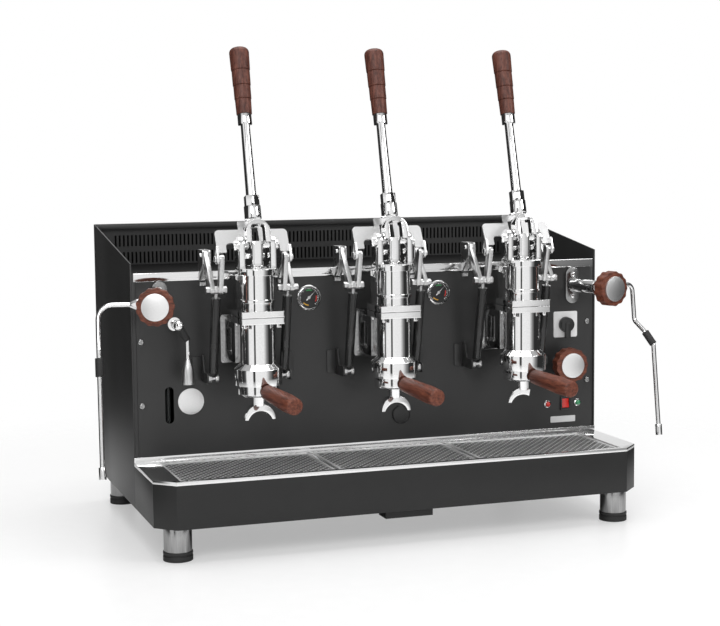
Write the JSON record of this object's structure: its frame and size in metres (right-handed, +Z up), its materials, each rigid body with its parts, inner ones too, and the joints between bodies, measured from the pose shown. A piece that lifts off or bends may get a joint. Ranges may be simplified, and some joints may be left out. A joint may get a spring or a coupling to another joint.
{
  "type": "lever espresso machine",
  "caption": "Wide counter-top espresso machine with spring levers, damper links, portafilters, steam wands, a hot water spout and a drip tray.",
  "frame": {"origin": "on the counter, below the middle of the machine's overall box", "axes": "+X to the barista's right, +Y towards the back, +Z up"},
  "size_m": [1.1669, 0.6963, 0.942],
  "materials": {
    "black_paint": "satin black powder coat",
    "polished": "polished chrome and stainless steel",
    "brushed": "brushed stainless steel",
    "copper": "plain copper alloy",
    "walnut": "oiled hardwood, satin",
    "black_plastic": "moulded, matte",
    "red_lens": "translucent red, gloss"
  },
  "bodies": {
    "machine": {"chassis": "black_paint", "side_panel_left": "black_paint", "side_panel_right": "black_paint", "front_panel": "black_paint", "rear_panel": "black_paint", "cup_tray": "black_paint", "front_trim": "polished", "tray_housing": "black_paint", "tray_rim": "polished", "boiler": "copper", "group_body_1": "polished", "group_body_2": "polished", "group_body_3": "polished"},
    "lever_1": {"lever_1": "polished", "lever_grip_1": "walnut"},
    "piston_1": {"piston_rod_1": "polished"},
    "swing_1": {"swing_link_1_left": "brushed", "swing_link_1_right": "brushed"},
    "pull_1": {"pull_link_1_left": "brushed", "pull_link_1_right": "brushed"},
    "strut_1": {"strut_tube_1_left": "black_paint", "strut_tube_1_right": "black_paint"},
    "strut_rod_1": {"strut_rod_1_left": "brushed", "strut_rod_1_right": "brushed"},
    "portafilter_1": {"portafilter_1": "polished"},
    "lever_2": {"lever_2": "polished", "lever_grip_2": "walnut"},
    "piston_2": {"piston_rod_2": "polished"},
    "swing_2": {"swing_link_2_left": "brushed", "swing_link_2_right": "brushed"},
    "pull_2": {"pull_link_2_left": "brushed", "pull_link_2_right": "brushed"},
    "strut_2": {"strut_tube_2_left": "black_paint", "strut_tube_2_right": "black_paint"},
    "strut_rod_2": {"strut_rod_2_left": "brushed", "strut_rod_2_right": "brushed"},
    "portafilter_2": {"portafilter_2": "polished"},
    "lever_3": {"lever_3": "polished", "lever_grip_3": "walnut"},
    "piston_3": {"piston_rod_3": "polished"},
    "swing_3": {"swing_link_3_left": "brushed", "swing_link_3_right": "brushed"},
    "pull_3": {"pull_link_3_left": "brushed", "pull_link_3_right": "brushed"},
    "strut_3": {"strut_tube_3_left": "black_paint", "strut_tube_3_right": "black_paint"},
    "strut_rod_3": {"strut_rod_3_left": "brushed", "strut_rod_3_right": "brushed"},
    "portafilter_3": {"portafilter_3": "polished"},
    "steam_knob_left": {"steam_knob_left": "walnut"},
    "steam_wand_left": {"steam_wand_left": "polished"},
    "steam_knob_right": {"steam_knob_right": "walnut"},
    "steam_wand_right": {"steam_wand_right": "polished"},
    "water_knob": {"water_knob": "walnut"},
    "water_spout": {"water_spout": "polished"},
    "selector_knob": {"selector_knob": "black_plastic"},
    "rocker_switch": {"rocker_switch": "red_lens"},
    "drip_grate_1": {"drip_grate_1": "brushed"},
    "drip_grate_2": {"drip_grate_2": "brushed"},
    "drip_grate_3": {"drip_grate_3": "brushed"}
  },
  "joints": [
    {"name": "lever_1_pivot", "type": "hinge", "parent": "machine", "child": "lever_1", "pos_m": [-0.2722, -0.156, 0.568], "axis": [1, 0, 0], "range_deg": [0, 85], "stiffness_Nm_per_rad": 10, "springref_deg": -17.19},
    {"name": "piston_1_slide", "type": "slide", "parent": "machine", "child": "piston_1", "axis": [0, 0, 1], "range_m": [0, 0.0433]},
    {"name": "swing_1_pivot", "type": "hinge", "parent": "machine", "child": "swing_1", "pos_m": [-0.2722, -0.078, 0.547], "axis": [1, 0, 0], "range_deg": [-35.6, 0]},
    {"name": "pull_1_pivot", "type": "hinge", "parent": "lever_1", "child": "pull_1", "pos_m": [-0.2722, -0.142, 0.543], "axis": [1, 0, 0], "range_deg": [-123.3, 0]},
    {"name": "strut_1_pivot", "type": "hinge", "parent": "machine", "child": "strut_1", "pos_m": [-0.2722, -0.092, 0.312], "axis": [1, 0, 0], "range_deg": [0, 4.8]},
    {"name": "strut_rod_1_slide", "type": "slide", "parent": "strut_1", "child": "strut_rod_1", "axis": [0, -0.2049, 0.9788], "range_m": [0, 0.0463]},
    {"name": "portafilter_1_turn", "type": "hinge", "parent": "machine", "child": "portafilter_1", "pos_m": [-0.2722, -0.163, 0.3068], "axis": [0, 0, 1], "range_deg": [-45, 0]},
    {"name": "lever_2_pivot", "type": "hinge", "parent": "machine", "child": "lever_2", "pos_m": [0, -0.156, 0.568], "axis": [1, 0, 0], "range_deg": [0, 85], "stiffness_Nm_per_rad": 10, "springref_deg": -17.19},
    {"name": "piston_2_slide", "type": "slide", "parent": "machine", "child": "piston_2", "axis": [0, 0, 1], "range_m": [0, 0.0433]},
    {"name": "swing_2_pivot", "type": "hinge", "parent": "machine", "child": "swing_2", "pos_m": [0, -0.078, 0.547], "axis": [1, 0, 0], "range_deg": [-35.6, 0]},
    {"name": "pull_2_pivot", "type": "hinge", "parent": "lever_2", "child": "pull_2", "pos_m": [0, -0.142, 0.543], "axis": [1, 0, 0], "range_deg": [-123.3, 0]},
    {"name": "strut_2_pivot", "type": "hinge", "parent": "machine", "child": "strut_2", "pos_m": [0, -0.092, 0.312], "axis": [1, 0, 0], "range_deg": [0, 4.8]},
    {"name": "strut_rod_2_slide", "type": "slide", "parent": "strut_2", "child": "strut_rod_2", "axis": [0, -0.2049, 0.9788], "range_m": [0, 0.0463]},
    {"name": "portafilter_2_turn", "type": "hinge", "parent": "machine", "child": "portafilter_2", "pos_m": [0, -0.163, 0.3068], "axis": [0, 0, 1], "range_deg": [-45, 0]},
    {"name": "lever_3_pivot", "type": "hinge", "parent": "machine", "child": "lever_3", "pos_m": [0.2722, -0.156, 0.568], "axis": [1, 0, 0], "range_deg": [0, 85], "stiffness_Nm_per_rad": 10, "springref_deg": -17.19},
    {"name": "piston_3_slide", "type": "slide", "parent": "machine", "child": "piston_3", "axis": [0, 0, 1], "range_m": [0, 0.0433]},
    {"name": "swing_3_pivot", "type": "hinge", "parent": "machine", "child": "swing_3", "pos_m": [0.2722, -0.078, 0.547], "axis": [1, 0, 0], "range_deg": [-35.6, 0]},
    {"name": "pull_3_pivot", "type": "hinge", "parent": "lever_3", "child": "pull_3", "pos_m": [0.2722, -0.142, 0.543], "axis": [1, 0, 0], "range_deg": [-123.3, 0]},
    {"name": "strut_3_pivot", "type": "hinge", "parent": "machine", "child": "strut_3", "pos_m": [0.2722, -0.092, 0.312], "axis": [1, 0, 0], "range_deg": [0, 4.8]},
    {"name": "strut_rod_3_slide", "type": "slide", "parent": "strut_3", "child": "strut_rod_3", "axis": [0, -0.2049, 0.9788], "range_m": [0, 0.0463]},
    {"name": "portafilter_3_turn", "type": "hinge", "parent": "machine", "child": "portafilter_3", "pos_m": [0.2722, -0.163, 0.3068], "axis": [0, 0, 1], "range_deg": [-45, 0]},
    {"name": "steam_knob_left_turn", "type": "hinge", "parent": "machine", "child": "steam_knob_left", "pos_m": [-0.435, -0.05, 0.4605], "axis": [-0.2588, -0.9659, 0], "range_deg": [0, 360]},
    {"name": "steam_wand_left_swing", "type": "hinge", "parent": "machine", "child": "steam_wand_left", "pos_m": [-0.45182, -0.11278, 0.4605], "axis": [0.9659, -0.2588, 0], "range_deg": [-60, 10]},
    {"name": "steam_knob_right_turn", "type": "hinge", "parent": "machine", "child": "steam_knob_right", "pos_m": [0.435, -0.05, 0.4605], "axis": [0.2588, -0.9659, 0], "range_deg": [0, 360]},
    {"name": "steam_wand_right_swing", "type": "hinge", "parent": "machine", "child": "steam_wand_right", "pos_m": [0.45182, -0.11278, 0.4605], "axis": [0.9659, 0.2588, 0], "range_deg": [-60, 10]},
    {"name": "water_knob_turn", "type": "hinge", "parent": "machine", "child": "water_knob", "pos_m": [0.41, -0.05, 0.2995], "axis": [0, -1, 0], "range_deg": [0, 360]},
    {"name": "water_spout_swing", "type": "hinge", "parent": "machine", "child": "water_spout", "pos_m": [-0.408, -0.05, 0.416], "axis": [0, 1, 0], "range_deg": [-8, 40]},
    {"name": "selector_turn", "type": "hinge", "parent": "machine", "child": "selector_knob", "pos_m": [0.421, -0.05, 0.379], "axis": [0, -1, 0], "range_deg": [-60, 60]},
    {"name": "rocker_tip", "type": "hinge", "parent": "machine", "child": "rocker_switch", "pos_m": [0.4216, -0.05, 0.213], "axis": [1, 0, 0], "range_deg": [0, 14]},
    {"name": "drip_grate_1_lift", "type": "slide", "parent": "machine", "child": "drip_grate_1", "axis": [0, 0, 1], "range_m": [0, 0.06]},
    {"name": "drip_grate_2_lift", "type": "slide", "parent": "machine", "child": "drip_grate_2", "axis": [0, 0, 1], "range_m": [0, 0.06]},
    {"name": "drip_grate_3_lift", "type": "slide", "parent": "machine", "child": "drip_grate_3", "axis": [0, 0, 1], "range_m": [0, 0.06]}
  ],
  "couplings": [
    {"joint": "piston_1_slide", "follows": "lever_1_pivot", "m_per_rad": 0.029145},
    {"joint": "swing_1_pivot", "follows": "lever_1_pivot", "ratio": -0.41731},
    {"joint": "pull_1_pivot", "follows": "lever_1_pivot", "ratio": -1.4484},
    {"joint": "strut_1_pivot", "follows": "lever_1_pivot", "ratio": 0.05583},
    {"joint": "strut_rod_1_slide", "follows": "lever_1_pivot", "m_per_rad": 0.031138},
    {"joint": "piston_2_slide", "follows": "lever_2_pivot", "m_per_rad": 0.029145},
    {"joint": "swing_2_pivot", "follows": "lever_2_pivot", "ratio": -0.41731},
    {"joint": "pull_2_pivot", "follows": "lever_2_pivot", "ratio": -1.4484},
    {"joint": "strut_2_pivot", "follows": "lever_2_pivot", "ratio": 0.05583},
    {"joint": "strut_rod_2_slide", "follows": "lever_2_pivot", "m_per_rad": 0.031138},
    {"joint": "piston_3_slide", "follows": "lever_3_pivot", "m_per_rad": 0.029145},
    {"joint": "swing_3_pivot", "follows": "lever_3_pivot", "ratio": -0.41731},
    {"joint": "pull_3_pivot", "follows": "lever_3_pivot", "ratio": -1.4484},
    {"joint": "strut_3_pivot", "follows": "lever_3_pivot", "ratio": 0.05583},
    {"joint": "strut_rod_3_slide", "follows": "lever_3_pivot", "m_per_rad": 0.031138}
  ]
}
